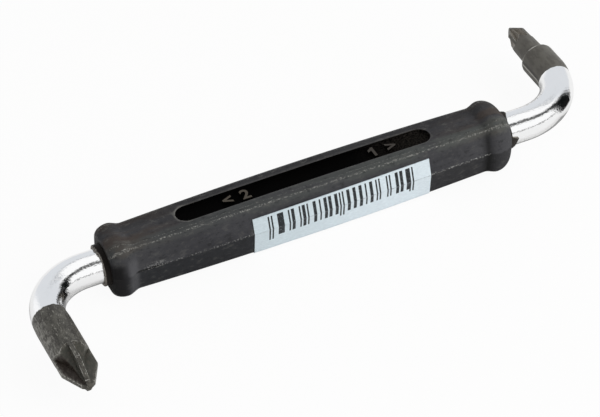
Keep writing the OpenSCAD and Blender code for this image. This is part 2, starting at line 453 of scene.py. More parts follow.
def small_arm():
    """Stations from the small bend over the shoulder to the small tip."""
    side, ahead = SPAN / 2, (0.0, 1.0)
    shoulder = SMALL_ARM - SMALL_END_L
    root = shank_radius(SMALL_TIP, SMALL_END_L)
    out = [round_station((side, y), ahead, arm_radius(y)) for y in steps(SMALL_BEND_R, shoulder - 0.7, 4)]
    for past, inset, wear in SHOULDER_EDGE:
        out.append(round_station((side, shoulder + past), ahead, ARM_R - inset, wear))
    for past, height in SHOULDER_FILLET:
        out.append(round_station((side, shoulder + past), ahead, root + height))
    for s, ring, wear, deep in reversed(turned(tip_rings(SMALL_TIP, SMALL_END_L - 0.6), SMALL_ROLL)):
        out.append((np.array([side, SMALL_ARM - s]), np.array(ahead), ring, wear * SMALL_TIP_WEAR, deep))
    return out


def make_bar():
    stations = large_arm() + bent_run() + small_arm()
    at, way, rings, wear, deep = (np.array(part) for part in zip(*stations))
    left = np.column_stack([-way[:, 1], way[:, 0]])
    flat = at[:, None] + rings[:, :, :1] * left[:, None]
    points = np.dstack([flat, rings[:, :, 1]]).reshape(-1, 3)
    ends = np.column_stack([at[[0, -1]], [0.0, 0.0]])
    count = len(points)
    faces = tube_faces(len(stations), RING)
    faces += [(count, (k + 1) % RING, k) for k in range(RING)]
    faces += [(count + 1, count - RING + k, count - RING + (k + 1) % RING) for k in range(RING)]
    bar = add_mesh("bar_forged", np.vstack([points, ends]), faces)
    for name, values in (("wear", wear), ("deep", deep)):
        add_values(bar, name, np.append(values, [0.0, 0.0]))
    bar.data.set_sharp_from_angle(angle=math.radians(50))
    return bar


# Grip

def collar_at(x):
    return LARGE_COLLAR if x < 0 else SMALL_COLLAR


def neck_at(x):
    return HALF_L - collar_at(x)["length"]


def grip_shape(x):
    """Inset of the faces and radius of the long edges, x from the grip's middle."""
    collar = collar_at(x)
    neck, crest = neck_at(x), HALF_L - collar["round_l"]
    x = abs(x)
    if x <= neck:
        return NECK_DROP * (x / neck) ** 2, EDGE_R
    if x <= crest:
        share = (1 - math.cos(math.pi * (x - neck) / (crest - neck))) / 2
        return NECK_DROP - COLLAR_RISE * share, EDGE_R + (COLLAR_EDGE_R - EDGE_R) * share
    lean = 1 - math.sqrt(max(1 - min((x - crest) / collar["round_l"], 1) ** 2, 0))
    return NECK_DROP - COLLAR_RISE + collar["round_h"] * lean, COLLAR_EDGE_R + collar["soften"] * lean


def edge_centre(w, h, r):
    return np.array([w - r / math.cos(DRAFT) - (h - r) * math.tan(DRAFT), h - r])


def grip_quarter(w, h, r, ridge):
    """A quarter of the grip's section from the parting line to the middle of the top."""
    centre = edge_centre(w, h, r)
    edge = [centre + point for point in arc(r, DRAFT, QUARTER, np.linspace(0, 1, 11))]
    foot, low = (np.array([w - up * math.tan(DRAFT), up]) for up in (0.1, 0.3))
    side = between(low, edge[0], np.linspace(0, 1, 6)[:-1])
    top = between(edge[-1], np.array([0.0, edge[-1][1]]), steps(0, 1, 5))
    return np.array([np.array([w + ridge, 0.0]), foot] + side + edge + top)


def grip_ring(x):
    inset, r = grip_shape(x)
    fade = smooth_step((neck_at(x) + 1.0 - abs(x)) / 2)
    ridge = PARTING_RIDGE * fade * (0.6 + 0.6 * waves(np.array([x]), 4, first=0.8)[0])
    quarter = grip_quarter(HALF_W - inset, HALF_H - inset, r, ridge)
    half = np.vstack([quarter, quarter[-2:0:-1] * [-1, 1]])
    ring = np.vstack([half, half * -1])
    reach = np.hypot(ring[:, 0], ring[:, 1])
    ring = ring * np.maximum((NOSE_R - NOSE_STEP) / reach, 1).reshape(-1, 1)
    return np.column_stack([np.full(len(ring), x), ring])


def flap(turn, start, tip, end, length):
    """Length of a torn flap of flash, which rises from start to tip and falls to end, in degrees."""
    rise = np.clip((turn - start) / (tip - start), 0, 1)
    fall = np.clip((end - turn) / (end - tip), 0, 1)
    return length * np.minimum(rise, fall)


def flash_length(turn, side):
    """How far the flash reaches past the grip's end, at angles about the bar."""
    flash = LARGE_FLASH if side < 0 else SMALL_FLASH
    degrees = np.degrees(turn) % 360
    even = flash["length"] + waves(turn, flash["seed"], first=3.0) * FLASH_ROUGHNESS
    return even + sum(flap(degrees, *shape) for shape in flash["flaps"])


def nose_rings(end_ring, side):
    """Flash round the bar at one end: out along the nose, over its lip and back to the bore."""
    turn = np.arctan2(end_ring[:, 2], end_ring[:, 1])
    length = flash_length(turn, side)
    if side < 0:
        root = np.full(len(turn), NOSE_R)
        lip = LIP + 0.1 * np.clip(waves(turn, 21, first=2.0), -1, 1)
    else:
        root = np.minimum(NOSE_R, np.hypot(end_ring[:, 1], end_ring[:, 2]) - NOSE_STEP)
        lip = np.full(len(turn), -LIP)
    section = [(share, root - inset + lip * lipped) for share, inset, lipped in FLASH_SECTION]
    rings = []
    for share, radius in section + [(FLASH_BORE, np.full(len(turn), BAR_R))]:
        around = np.maximum(radius, BAR_R)
        along = side * (HALF_L + length * share)
        rings.append(np.column_stack([along, around * np.cos(turn), around * np.sin(turn)]))
    return rings


def half_stations(side):
    """Places along one half's collar, from its neck to the grip's end."""
    collar, neck = collar_at(side), neck_at(side)
    crest = HALF_L - collar["round_l"]
    end = crest + collar["round_l"] * np.sin(steps(0, QUARTER, 12))
    return np.concatenate([steps(neck, crest, 12), end])


def grip_stations():
    middle = np.linspace(-neck_at(-1), neck_at(1), 71)
    return np.concatenate([-half_stations(-1)[::-1], middle, half_stations(1)])


def grip_body():
    """Closed ring-shaped solid: the outside, the flash at both ends and the bore."""
    rings = [grip_ring(x) for x in grip_stations()]
    near, far = nose_rings(rings[0], -1), nose_rings(rings[-1], 1)
    bore = between(far[-1], near[-1], np.linspace(0, 1, 5)[1:-1])
    rings = rings + far + bore + near[::-1]
    faces = tube_faces(len(rings), len(rings[0]), closed=True)
    return add_mesh("grip_moulding", np.vstack(rings) + [GRIP_X, 0, 0], faces)


def slot_outline(radius):
    """Round-ended outline of the slot, with the ends' centres kept, from the grip's middle."""
    reach = SLOT_L / 2 - SLOT_R
    turn = np.linspace(-QUARTER, QUARTER, 25)
    end = np.column_stack([reach + radius * np.cos(turn), radius * np.sin(turn)])
    run = np.linspace(reach, -reach, 25)[1:-1]
    top = np.column_stack([run, np.full(len(run), radius)])
    half = np.vstack([end, top])
    return np.vstack([half, -half]) + [SLOT_X, 0]


def slot_cutter():
    """Floor with a small fillet, drafted walls and a soft rim that follows the grip's top."""
    rings = []
    for height, wider in SLOT_FOOT:
        line = slot_outline(SLOT_R + wider)
        rings.append(np.column_stack([line, np.full(len(line), SLOT_FLOOR + height)]))
    for height, wider in SLOT_RIM:
        line = slot_outline(SLOT_R + wider)
        top = HALF_H - np.array([grip_shape(x)[0] for x in line[:, 0]])
        rings.append(np.column_stack([line, top + height]))
    faces = capped_faces(len(rings), len(rings[0]))
    return add_mesh("slot_cutter", np.vstack(rings) + [GRIP_X, 0, 0], faces)


def evaluated_mesh(thing):
    return bpy.data.meshes.new_from_object(thing.evaluated_get(bpy.context.evaluated_depsgraph_get()))


def cut(piece, cutter, operation="DIFFERENCE"):
    """Boolean with a cutter, which is deleted."""
    change = piece.modifiers.new("cut", "BOOLEAN")
    change.operation = operation
    change.solver = "EXACT"
    change.object = cutter
    ready = evaluated_mesh(piece)
    piece.modifiers.clear()
    old = piece.data
    piece.data = ready
    bpy.data.meshes.remove(old)
    bpy.data.meshes.remove(cutter.data)


def raised_mark(words, x):
    """Plain raised mark on the slot's floor, centred at x."""
    depth = (NUMBER_TOP - SLOT_FLOOR + NUMBER_SINK) / 2
    font = bpy.data.curves.new("mark", "FONT")
    font.body = words
    font.size = NUMBER_SIZE * MM
    font.extrude = depth * MM
    font.offset = NUMBER_BOLD * MM
    font.space_character = NUMBER_SPACING
    font.align_x = "CENTER"
    made = add_object("mark", font)
    made.location = Vector((x, -NUMBER_SIZE * NUMBER_MIDDLE, NUMBER_TOP - depth)) * MM
    bpy.context.view_layer.update()
    mesh = evaluated_mesh(made)
    mesh.transform(made.matrix_world)
    bpy.data.objects.remove(made)
    bpy.data.curves.remove(font)
    return add_object("mark", mesh)


def raised_flag():
    """Slanted stroke that tells the 1 from a plain bar."""
    points = [(x, y, z) for z in (SLOT_FLOOR - NUMBER_SINK, NUMBER_TOP) for x, y in FLAG]
    return add_mesh("flag", points, capped_faces(2, len(FLAG)))


def slot_distance(x, y):
    """Distance from the slot's middle line, x and y from the grip's middle."""
    return math.hypot(max(abs(x - SLOT_X) - SLOT_L / 2 + SLOT_R, 0), y)


def in_slot(x, y):
    return slot_distance(x, y) < SLOT_R + 0.04


def edge_share(y, z, w, h, r):
    """0 on the grip's sides, 1 on its faces above and below, between them round the long edges."""
    across, up = np.array([abs(y), abs(z)]) - edge_centre(w, h, r)
    turn = (math.atan2(up, max(across, 0)) - DRAFT) / (QUARTER - DRAFT)
    return min(max(turn, 0), 1) if up > 0 else 0


def grip_marks(piece):
    """Numbers for the grip's material, from 0 to 1 at each point."""
    co = np.array([vertex.co for vertex in piece.data.vertices]) / MM - [GRIP_X, 0, 0]
    marks = {name: np.zeros(len(co)) for name in ("edge", "flash", "lip", "neck", "number", "rim")}
    for i, (x, y, z) in enumerate(co):
        inset, r = grip_shape(x)
        w, h = HALF_W - inset, HALF_H - inset
        flash = flash_length(np.array([math.atan2(z, y)]), x)[0]
        marks["edge"][i] = edge_share(y, z, w, h, r)
        marks["flash"][i] = abs(x) > HALF_L - TOUCH and math.hypot(y, z) < NOSE_R + 0.2
        marks["lip"][i] = abs(x) - HALF_L > LIP_FROM * flash
        marks["neck"][i] = math.exp(-((abs(x) - neck_at(x) - 0.5) / 0.9) ** 2)
        marks["number"][i] = in_slot(x, y) and abs(z - NUMBER_TOP) < TOUCH
        marks["rim"][i] = abs(slot_distance(x, y) - SLOT_R - 0.1) < 0.12 and z > h - 0.08
    for name, values in marks.items():
        add_values(piece, name, values)


def in_hollow(face):
    """Whether a face of the grip is on the slot's floor, its walls or the side of a number."""
    x, y, z = face.center / MM
    x -= GRIP_X
    top = HALF_H - grip_shape(x)[0]
    on_number = abs(z - NUMBER_TOP) < TOUCH and face.normal.z > 0.9
    return in_slot(x, y) and SLOT_FLOOR - 0.1 < z < top - 0.1 and not on_number


def make_grip():
    grip = grip_body()
    cut(grip, slot_cutter())
    for words, x in NUMBERS:
        cut(grip, raised_mark(words, x), "UNION")
    cut(grip, raised_flag(), "UNION")
    grip_marks(grip)
    grip.data.set_sharp_from_angle(angle=math.radians(38))
    return grip


# Label

def label_line(x, height):
    """Section of the label, from its upper edge down and round the grip's lower edge."""
    inset, r = grip_shape(x - GRIP_X)
    w, h = HALF_W - inset + height / math.cos(DRAFT), HALF_H - inset + height
    share = (x - LABEL_X[0]) / (LABEL_X[1] - LABEL_X[0])
    top = LABEL_TOP[0] + (LABEL_TOP[1] - LABEL_TOP[0]) * share
    centre = edge_centre(w, h, r + height)
    last = -(centre[1] + (r + height) * math.sin(DRAFT))

    def on_side(z):
        return np.array([-(w - abs(z) * math.tan(DRAFT)), z])

    line = [on_side(z) for z in np.linspace(top, 0.12, 9)]
    line.append(np.array([-w - LABEL_CREST, 0.0]))
    line += [on_side(z) for z in np.linspace(-0.12, last, 12)]
    line += [-(centre + point) for point in arc(r + height, DRAFT, QUARTER, steps(0, LABEL_WRAP, 8))]
    return np.array(line)


def make_label():
    rings, down = [], []
    for x in np.linspace(*LABEL_X, 97):
        lift = LABEL_LIFT * (1 + waves(np.array([x]), 12, first=0.5)[0])
        under, over = label_line(x, GLUE_T), label_line(x, GLUE_T + LABEL_T + lift)
        run = np.concatenate([[0], np.cumsum(np.hypot(*np.diff(over, axis=0).T))])
        ring = np.vstack([over, under[::-1]])
        rings.append(np.column_stack([np.full(len(ring), x), ring]))
        down.append(np.concatenate([run, run[::-1]]))
    points = np.vstack(rings)
    label = add_mesh("label_paper", points, capped_faces(len(rings), len(rings[0])))
    add_values(label, "along", points[:, 0] - LABEL_X[0])
    add_values(label, "down", np.concatenate(down))
    label.data.set_sharp_from_angle(angle=math.radians(40))
    return label


# Materials

class Graph:
    """Builds a node tree in short lines: a value that is a socket is linked, any other is set."""

    def __init__(self, tree):
        self.tree = tree
        tree.nodes.clear()

    def node(self, kind, inputs=None, **settings):
        made = self.tree.nodes.new(kind)
        for key, value in settings.items():
            setattr(made, key, value)
        for key, value in (inputs or {}).items():
            if isinstance(value, bpy.types.NodeSocket):
                self.tree.links.new(value, made.inputs[key])
            else:
                made.inputs[key].default_value = value
        return made

    def math(self, operation, *values):
        return self.node("ShaderNodeMath", dict(enumerate(values)), operation=operation).outputs[0]

    def product(self, *values):
        total = values[0]
        for value in values[1:]:
            total = self.math("MULTIPLY", total, value)
        return total

    def less(self, a, b):
        return self.math("SUBTRACT", a, b)

    def flip(self, value):
        return self.less(1.0, value)

    def scaled(self, value, factor, plus):
        return self.math("MULTIPLY_ADD", value, factor, plus)

    def larger(self, a, b):
        return self.math("MAXIMUM", a, b)

    def above(self, a, b):
        return self.math("GREATER_THAN", a, b)

    def below(self, a, b):
        return self.math("LESS_THAN", a, b)

    def step(self, value, start, end):
        """0 before start, 1 past end and smooth between them. The end may be the lower one."""
        return self.node("ShaderNodeMapRange", {"Value": value, "From Min": start, "From Max": end},
                         interpolation_type="SMOOTHSTEP").outputs[0]

    def window(self, value, rise, fall):
        """1 between two soft borders and 0 outside them."""
        return self.product(self.step(value, *rise), self.flip(self.step(value, *fall)))

    def near(self, value, middle, full, none):
        """1 within full of the middle, 0 further than none from it and smooth between them."""
        return self.step(self.math("ABSOLUTE", self.less(value, middle)), none, full)

    def lerp(self, share, a, b):
        return self.node("ShaderNodeMix", {0: share, 2: a, 3: b}, data_type="FLOAT").outputs[0]

    def mix(self, share, a, b):
        return self.node("ShaderNodeMix", {0: share, 6: a, 7: b}, data_type="RGBA").outputs[2]

    def tint(self, base, colour, *shares):
        """Base with a colour laid over it, by the product of the shares."""
        return self.mix(self.product(*shares), base, rgb(*colour))

    def noise(self, vector, scale, detail=4.0, roughness=0.55):
        inputs = {"Vector": vector, "Scale": scale, "Detail": detail, "Roughness": roughness}
        return self.node("ShaderNodeTexNoise", inputs).outputs[0]

    def chance(self, value, seed):
        """Number between 0 and 1 that looks random, the same for the same value and seed."""
        picked = self.math("ADD", value, seed)
        return self.node("ShaderNodeTexWhiteNoise", {"W": picked}, noise_dimensions="1D").outputs["Value"]

    def mark(self, name):
        return self.node("ShaderNodeAttribute", attribute_name=name).outputs["Fac"]

    def place(self):
        """Place on the object in millimetres."""
        coords = self.node("ShaderNodeTexCoord").outputs["Object"]
        return self.stretch(coords, (1 / MM, 1 / MM, 1 / MM))

    def stretch(self, vector, factors):
        return self.node("ShaderNodeVectorMath", {0: vector, 1: factors}, operation="MULTIPLY").outputs[0]

    def axes(self, vector):
        return self.node("ShaderNodeSeparateXYZ", {0: vector}).outputs

    def bump(self, height, strength, distance):
        return self.node("ShaderNodeBump", {"Height": height, "Strength": strength,
                                            "Distance": distance * MM}).outputs[0]


def rgb(r, g, b):
    """Linear colour from one written as on a screen, 0 to 255."""
    line = [((c / 255 + 0.055) / 1.055) ** 2.4 if c > 10 else c / 255 / 12.92 for c in (r, g, b)]
    return (*line, 1.0)


def dress(piece, name, shader):
    """Adds a new material to a piece. shader gets its graph and returns its surface."""
    material = bpy.data.materials.new(name)
    material.use_nodes = True
    g = Graph(material.node_tree)
    g.node("ShaderNodeOutputMaterial", {"Surface": shader(g)})
    piece.data.materials.append(material)


def surface(piece, name, build):
    """Adds a material whose values build returns."""
    dress(piece, name, lambda g: g.node("ShaderNodeBsdfPrincipled", build(g)).outputs[0])


def blackened(g, at):
    """1 on the blackened ends and 0 on the plating, with a ragged border."""
    x, y, _ = g.axes(at)
    ragged = g.less(g.noise(at, 1.4, 4, 0.6), 0.5)
    large = g.less(g.product(y, -1.0), LARGE_BLACK_Y)
    inner = g.product(g.less(SPAN / 2, x), SMALL_BLACK_LEAN)
    small = g.less(g.less(y, SMALL_BLACK_Y), inner)
    past = g.larger(g.scaled(ragged, 1.0, large), g.scaled(ragged, 0.5, small))
    return g.step(past, -0.05, 0.05)


def painted_glint_line(g, colour, fleck, x, y, z):
    """Painted highlight line and a painted shade band beside it, along the inner side of the small arm."""
    inner = g.product(g.step(x, SPAN / 2 - 2.6, SPAN / 2 - 3.0), g.step(y, *GLINT_LINE_Y))
    # painted shade band
    colour = g.tint(colour, (26, 25, 24), g.near(z, GLINT_SHADE_Z, 0.2, 0.45), inner, 0.6)
    broken = g.step(fleck, 0.3, 0.48)
    # painted highlight line, broken into flecks
    return g.tint(colour, (190, 188, 180), g.near(z, GLINT_LINE_Z, 0.1, 0.26), inner, broken)


def flute_colour(g, fleck, large, x, z):
    """Grey flutes on the small tip, green-grey floors on the large one, with painted shade in dark brown
    below the ridge.
    """
    above_ridge = g.step(g.math("ADD", g.math("ADD", x, SPAN / 2), z), -0.25, 0.25)
    # painted shade: dark brown on the large tip's flute faces below the ridge
    flute = g.mix(large, rgb(142, 136, 126), g.mix(above_ridge, rgb(40, 31, 25), rgb(66, 66, 59)))
    return g.tint(flute, (94, 87, 79), g.step(fleck, 0.44, 0.62), 0.5)


def oxide_colour(g, at, fine):
    """Mottled black oxide with light flecks, rubbed on the outer side of the large arm."""
    x, y, z = g.axes(at)
    along = g.stretch(at, (1.0, 0.35, 1.0))
    blotch = g.noise(along, 0.9, 5, 0.65)
    fleck = g.noise(along, 2.4, 4, 0.75)
    large = g.step(y, 0.0, -1.0)
    colour = g.mix(g.step(blotch, 0.4, 0.6), rgb(56, 53, 48), rgb(88, 86, 79))
    colour = g.tint(colour, (132, 130, 121), g.step(fine, 0.55, 0.68), g.lerp(large, 0.3, 0.85))
    colour = g.tint(colour, (30, 27, 24), g.step(fine, 0.43, 0.32), g.lerp(large, 0.4, 0.9))
    colour = g.tint(colour, (154, 152, 143), g.step(fleck, 0.58, 0.66), large)
    colour = g.tint(colour, (126, 122, 114), g.flip(large), 0.3)
    outer = g.step(x, -SPAN / 2 - 1.6, -SPAN / 2 - 3.4)
    colour = g.tint(colour, (156, 154, 147), outer, g.step(fleck, 0.44, 0.58), 0.85)
    colour = painted_glint_line(g, colour, fleck, x, y, z)
    return g.mix(g.step(g.mark("deep"), 0.02, 0.16), colour, flute_colour(g, fleck, large, x, z))


def steel(g):
    """Bright plating in the middle, blackened tips with worn edges."""
    at = g.place()
    black = blackened(g, at)
    fine = g.noise(at, 5.0, 4, 0.7)
    patchy = g.lerp(g.step(g.noise(at, 0.9, 3), 0.4, 0.58), 0.4, 1.0)
    worn = g.product(g.mark("wear"), g.step(fine, 0.2, 0.42), patchy)
    oxide = g.tint(oxide_colour(g, at, fine), (206, 204, 197), g.step(worn, 0.25, 0.8))
    chrome = g.mix(g.noise(at, 0.25, 2), rgb(248, 249, 250), rgb(254, 254, 254))
    rough = g.lerp(g.step(fine, 0.3, 0.7), 0.36, 0.55)
    shine = g.lerp(g.noise(at, 1.5, 3), 0.02, 0.06)
    height = g.lerp(black, g.noise(at, 2.6, 2), fine)
    return {
        "Base Color": g.mix(black, chrome, oxide),
        "Metallic": g.lerp(black, 1.0, g.lerp(worn, 0.2, 0.45)),
        "Roughness": g.lerp(black, shine, rough),
        "Specular IOR Level": 0.4,
        "Normal": g.bump(height, g.lerp(black, 0.6, 0.7), 0.06),
    }


def moulding_colour(g, at, x, y, z, grain):
    """Mottled black, paler with dust above, brown near the collars; painted shade makes it darker below and
    on the far top, and a painted highlight lightens the top by the near edge.
    """
    broad = g.noise(g.stretch(at, (0.25, 1.0, 1.0)), 0.3, 4)
    patch = g.noise(g.stretch(at, (0.55, 1.0, 1.0)), 1.0, 5, 0.7)
    right = g.step(x, *LEFT_TO_RIGHT)
    base = g.mix(g.step(broad, 0.35, 0.65), rgb(52, 52, 55), rgb(63, 63, 66))
    ends = g.step(g.math("ABSOLUTE", x), *GRIP_ENDS)
    base = g.tint(base, (75, 75, 77), ends, 0.45)
    # painted shade: the lower side is darker, less so to the right
    below = g.mix(right, rgb(37, 38, 41), rgb(47, 47, 49))
    base = g.mix(g.step(z, 0.2, -0.2), base, below)
    upper = g.step(z, 3.5, 5.3)
    base = g.tint(base, (70, 61, 55), upper, ends, g.step(broad, 0.38, 0.56), 0.75)
    # painted shade on the far side of the top
    base = g.tint(base, (34, 33, 33), upper, g.step(y, 0.5, 2.0), 0.35)
    # painted highlight along the top beside the near long edge
    painted_highlight_top = g.product(upper, g.step(y, -1.9, -3.0), g.step(broad, 0.75, 0.5))
    base = g.tint(base, (86, 90, 87), painted_highlight_top, g.lerp(right, 0.3, 0.6))
    base = g.tint(base, (96, 95, 92), g.step(patch, 0.54, 0.66), g.lerp(upper, 0.3, 0.45))
    base = g.tint(base, (22, 21, 22), g.step(patch, 0.46, 0.36), 0.4)
    return g.tint(base, (100, 100, 99), g.step(grain, 0.58, 0.72), 0.5)


def moulding_shade(g, base, x, z):
    """Painted shade in the right neck, weaker on its top, and on the left collar's end below the top, and a
    painted highlight on that collar's flank.
    """
    depth = g.product(g.lerp(g.step(z, -1.0, 1.0), 0.95, 0.75), g.lerp(g.step(z, 3.6, 5.2), 1.0, 0.45))
    neck = g.product(g.mark("neck"), g.step(x, -1.0, 1.0), depth)
    # painted shade: near black in the right neck
    base = g.mix(neck, base, g.mix(g.step(z, -0.5, 0.5), rgb(7, 7, 7), rgb(17, 17, 18)))
    low = g.step(z, 4.0, 2.0)
    # painted shade on the left collar's end, below its top
    base = g.tint(base, (13, 12, 13), g.step(x, *PAINTED_SHADE_END), low, 0.92)
    # painted highlight on the left collar's flank
    return g.tint(base, (96, 96, 99), g.near(x, PAINTED_HIGHLIGHT_FLANK_X, 0.4, 1.7), low, 0.4)


def wandering_line(g, value, middle, drift, width):
    """1 on a thin line where value is about middle, which drifts to and fro by half of drift."""
    centre = g.scaled(g.less(drift, 0.5), 0.5, middle)
    return g.near(value, centre, width * 0.3, width)


def edge_scuffs(g, base, speck, length):
    """Light flecks on three wandering lines along each long edge."""
    drift, second_drift = g.noise(length, 0.35, 3), g.noise(length, 0.8, 3)
    strong = g.step(g.noise(length, 0.22, 3), 0.3, 0.62)
    edge = g.mark("edge")
    fold = wandering_line(g, edge, 0.44, drift, 0.1)
    side_line = g.product(wandering_line(g, edge, 0.34, second_drift, 0.09), 0.7)
    on_curve = g.step(edge, 0.995, 0.97)
    brow = g.product(wandering_line(g, edge, 0.9, second_drift, 0.1), on_curve, 0.5)
    lines = g.larger(g.larger(fold, side_line), brow)
    return g.tint(base, (148, 147, 142), lines, g.step(speck, 0.5, 0.58), g.lerp(strong, 0.4, 1.0))


def seam_marks(g, base, speck, length, x, z):
    """Parting line: a painted shadow in the crease at its left end, light dots that sway along it, a scuff by
    the crease.
    """
    # painted shadow under the parting line's step at its left end
    base = g.tint(base, (10, 10, 10), g.window(x, *SEAM_SHADOW_X), g.near(z, 0.0, 0.12, 0.34), 0.9)
    sway = g.product(g.less(g.noise(length, 1.1, 3), 0.5), 0.7)
    run = g.product(g.window(x, *SEAM_X), g.lerp(g.step(x, -36.0, 24.0), 0.45, 1.0))
    base = g.tint(base, (150, 150, 147), g.near(z, sway, 0.1, 0.36), g.step(speck, 0.53, 0.59), run)
    scuff = g.product(g.window(x, *SCUFF_X), g.window(z, *SCUFF_Z))
    return g.tint(base, (146, 146, 144), scuff, g.step(speck, 0.51, 0.58), 0.55)


def moulding_wear(g, at, base, x, z):
    """Wear on the long edges and the parting line, a painted highlight on the slot's rim, broken into flecks,
    and the flash with its pale lip.
    """
    speck = g.noise(at, 3.4, 3, 0.7)
    length = g.stretch(at, (1.0, 0.0, 0.0))
    base = edge_scuffs(g, base, speck, length)
    base = seam_marks(g, base, speck, length, x, z)
    # painted highlight on the slot's rim, broken into flecks
    pale = g.lerp(g.step(x, *RIM_HIGHLIGHT_X), 0.25, 0.9)
    base = g.tint(base, (112, 111, 107), g.mark("rim"), pale, g.step(speck, 0.36, 0.5))
    flash = g.mix(g.step(x, 0.0, 1.0), rgb(26, 22, 19), rgb(46, 43, 40))
    base = g.mix(g.mark("flash"), base, flash)
    return g.tint(base, (148, 143, 135), g.step(g.mark("lip"), 0.2, 0.8), g.step(speck, 0.4, 0.52))


def moulding(g):
    """Black moulded grip with dust, scuffed edges, painted shade and highlights, and pale numbers."""
    at = g.place()
    absolute_x, y, z = g.axes(at)
    x = g.less(absolute_x, GRIP_X)
    grain = g.noise(at, 5.0, 4, 0.7)
    base = moulding_colour(g, at, x, y, z, grain)
    base = moulding_shade(g, base, x, z)
    base = moulding_wear(g, at, base, x, z)
    number = g.mix(g.step(x, -10.0, 12.0), rgb(80, 74, 66), rgb(66, 62, 58))
    return {
        "Base Color": g.mix(g.mark("number"), base, number),
        "Roughness": g.lerp(grain, 0.5, 0.68),
        "Specular IOR Level": 0.12,
        "Normal": g.bump(grain, 0.5, 0.07),
    }


def hollow(g):
    """Inside of the slot, coloured near black as painted shade of the recess, with some dust towards the
    small end.
    """
    at = g.place()
    grain = g.noise(at, 3.0, 4, 0.65)
    dusty = g.step(g.axes(at)[0], *DUSTY_FLOOR)
    # painted shade: the recess's moulding is coloured near black
    black = g.mix(g.step(grain, 0.4, 0.7), rgb(2, 2, 2), rgb(7, 6, 6))
    return {
        "Base Color": g.tint(black, (40, 37, 34), dusty, g.step(grain, 0.42, 0.6)),
        "Roughness": g.lerp(grain, 0.55, 0.7),
        "Specular IOR Level": 0.01,
        "Normal": g.bump(grain, 0.25, 0.06),
    }


def printed_bars(g, along):
    """1 on a made-up symbol's bars, and 1 on its guard bars. Each cell has two bars of chance widths."""
    half = CELL * CELLS
    total = 2 * (SIDE_GUARD + half) + MIDDLE_GUARD
    module = g.math("DIVIDE", g.less(along, BARS_X), MODULE)
    late = g.above(module, total / 2)
    inside = g.less(module, g.lerp(late, SIDE_GUARD, SIDE_GUARD + half + MIDDLE_GUARD))
    field = g.product(g.above(inside, 0.0), g.below(inside, half))
    cell = g.math("FLOOR", g.math("DIVIDE", inside, CELL))
    place = g.scaled(cell, -CELL, inside)
    which = g.scaled(late, CELLS, cell)
    first, last = (g.math("ADD", 1.0, g.math("FLOOR", g.product(g.chance(which, seed), 2.6)))
                   for seed in (0.37, 41.73))
    width = g.math("ADD", 1.0, g.above(g.chance(which, 17.31), 0.6))
    early_bar = g.product(g.above(place, first), g.below(place, g.math("ADD", first, width)))
    late_bar = g.above(place, g.less(CELL, last))
    even = g.below(g.math("MODULO", g.math("FLOOR", module), 2.0), 0.5)
    whole = g.product(g.above(module, 0.0), g.below(module, total))
    return g.product(field, g.larger(early_bar, late_bar)), g.product(g.flip(field), even, whole)


def label_ink(g, at):
    """1 where the label is printed."""
    down = g.mark("down")
    bars, guards = printed_bars(g, g.mark("along"))
    start = g.above(down, BARS_TOP)
    short = g.product(bars, start, g.below(down, BARS_END))
    tall = g.product(guards, start, g.below(down, GUARDS_END))
    return g.product(g.larger(short, tall), g.step(g.noise(at, 5.0, 3), 0.2, 0.4))


def paper(g):
    """Pale label with printed bars, blank margins, painted light below the parting line and painted shade in
    the crease on it.
    """
    at = g.place()
    z = g.axes(at)[2]
    fibre = g.noise(g.stretch(at, (1.0, 3.0, 3.0)), 1.5, 6, 0.7)
    right = g.step(g.mark("along"), 4.0, 34.0)
    # painted light: paler below the parting line; also paler towards the right end
    pale = g.product(g.scaled(g.step(z, 0.2, -0.2), 0.35, right), 0.8)
    mottle = g.step(fibre, 0.35, 0.7)
    base = g.mix(pale, g.mix(mottle, rgb(199, 212, 218), rgb(214, 227, 233)),
                 g.mix(mottle, rgb(215, 226, 233), rgb(230, 241, 247)))
    base = g.tint(base, (20, 24, 28), label_ink(g, at))
    # painted shade in the crease along the parting line, stronger to the right
    crease = g.product(g.near(z, 0.0, 0.05, 0.14), g.step(fibre, 0.4, 0.6))
    return {
        "Base Color": g.tint(base, (128, 134, 140), crease, g.lerp(right, 0.45, 0.8)),
        "Roughness": g.lerp(fibre, 0.55, 0.75),
        "Normal": g.bump(fibre, 0.15, 0.03),
    }


# Stage

def make_camera():
    a, e, roll = (math.radians(v) for v in (AZIMUTH, ELEVATION, ROLL))
    back = Vector((math.sin(a) * math.cos(e), -math.cos(a) * math.cos(e), math.sin(e)))
    right = Vector((math.cos(a), math.sin(a), 0))
    up = back.cross(right)
    target = Vector((TARGET_X, 0, 0)) - up * TARGET_DROP
    data = bpy.data.cameras.new("camera")
    data.sensor_fit = "HORIZONTAL"
    data.sensor_width = SENSOR
    data.lens = LENS
    data.clip_start = 0.01
    camera = add_object("camera", data)
    turn = Matrix((right, up, back)).transposed().to_4x4() @ Matrix.Rotation(roll, 4, "Z")
    camera.matrix_world = Matrix.Translation((target + back * DISTANCE) * MM) @ turn
    bpy.context.scene.camera = camera


def under_object(g, x, y):
    """Distance on the floor from the line below the bar."""
    def off(value, middle, reach):
        return g.less(g.math("ABSOLUTE", g.less(value, middle)), reach)

    run = g.larger(off(y, 0.0, 0.0), off(x, 0.0, SPAN / 2))
    large = g.larger(off(x, -SPAN / 2, 0.0), off(y, -LARGE_ARM / 2, LARGE_ARM / 2))
    small = g.larger(off(x, SPAN / 2, 0.0), off(y, SMALL_ARM / 2, SMALL_ARM / 2))
    return g.math("MINIMUM", run, g.math("MINIMUM", large, small))


